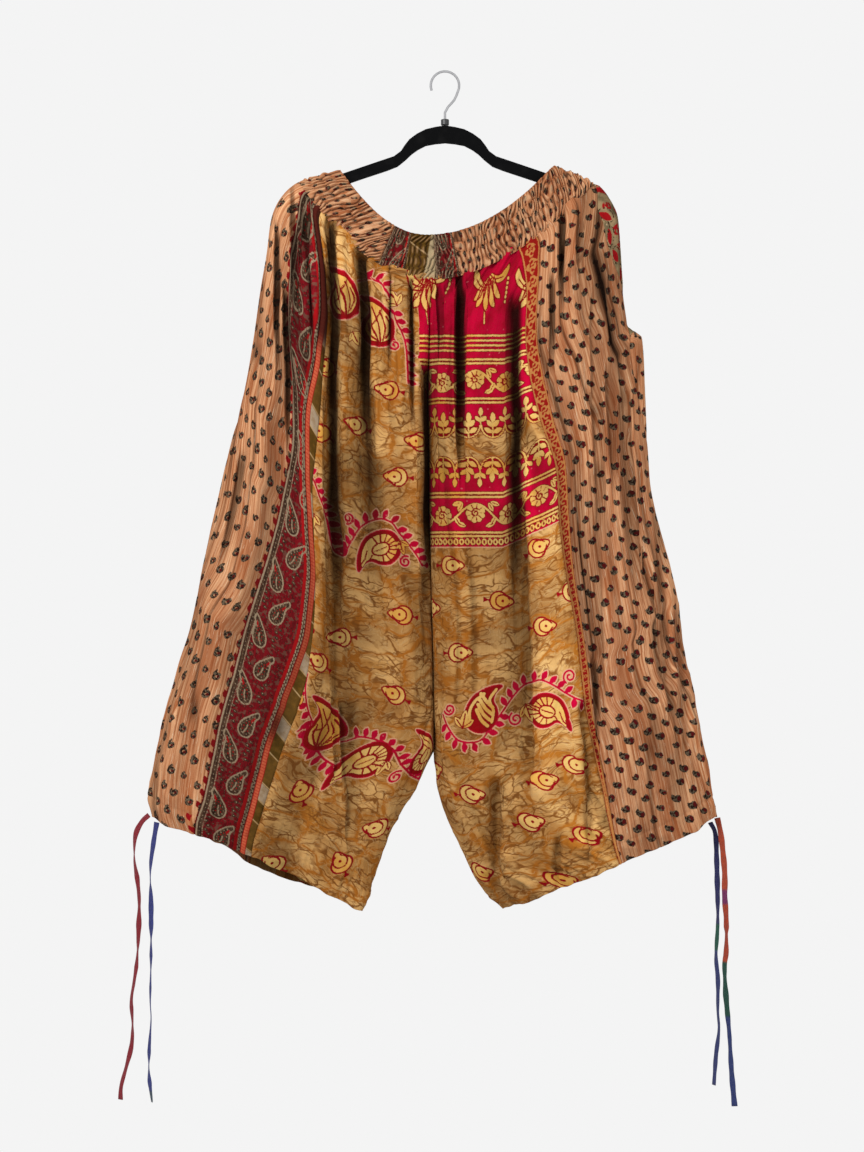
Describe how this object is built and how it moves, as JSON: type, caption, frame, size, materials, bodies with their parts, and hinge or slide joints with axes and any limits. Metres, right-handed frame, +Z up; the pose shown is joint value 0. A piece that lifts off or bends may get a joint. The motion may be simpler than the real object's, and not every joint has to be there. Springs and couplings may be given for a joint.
{
  "type": "harem trousers on a hanger",
  "caption": "Wide patchwork harem trousers with a shirred waistband and drawstring hems, hung by the waistband from a slim velvet clothes hanger.",
  "frame": {"origin": "the underside of the hanger hook's crest, where a rail carries it", "axes": "+Z up along the hanger's stem, -Y out of the front of the trousers, +X to the right as seen from the front"},
  "size_m": [0.8306, 0.098, 1.3965],
  "materials": {
    "dotted_cotton": "matte peach cotton with small dark comma spots and fine slub streaks",
    "paisley_cotton": "matte maroon cotton with grey-beige outlined paisleys and rows of pale dots",
    "trim_cotton": "matte orange stripe with olive and cream chevrons",
    "ornate_cotton": "matte red and gold ornate strip",
    "batik_cotton": "matte gold batik cotton with crackle, vines and lotus buds, and a crimson end piece",
    "tape_red": "folded cotton tape, red",
    "tape_blue": "folded cotton tape, blue",
    "tape_navy": "folded cotton tape, navy changing to green and blue",
    "tape_orange": "folded cotton tape, orange changing to purple, green and blue",
    "hanger_velvet": "black velvet flock over a moulded bar",
    "collar_black": "satin black plastic",
    "hook_steel": "bright bent steel wire"
  },
  "bodies": {
    "root": {"waistband_front_left": "dotted_cotton", "waistband_patch_left": "paisley_cotton", "waistband_patch_middle": "trim_cotton", "waistband_patch_right": "paisley_cotton", "waistband_front_right": "dotted_cotton", "waistband_back": "dotted_cotton", "left_side_front": "dotted_cotton", "left_border_front": "paisley_cotton", "left_trim_front": "trim_cotton", "left_inner_front": "batik_cotton", "left_side_back": "dotted_cotton", "left_inner_back": "batik_cotton", "right_inner_front": "batik_cotton", "right_trim_front": "ornate_cotton", "right_side_front": "dotted_cotton", "right_border_back": "paisley_cotton", "right_side_back": "dotted_cotton", "right_inner_back": "batik_cotton", "left_tie_red": "tape_red", "left_tie_blue": "tape_blue", "right_tie_navy": "tape_navy", "right_tie_orange": "tape_orange", "hanger_body": "hanger_velvet", "hanger_collar": "collar_black", "hanger_hook": "hook_steel"}
  },
  "joints": []
}
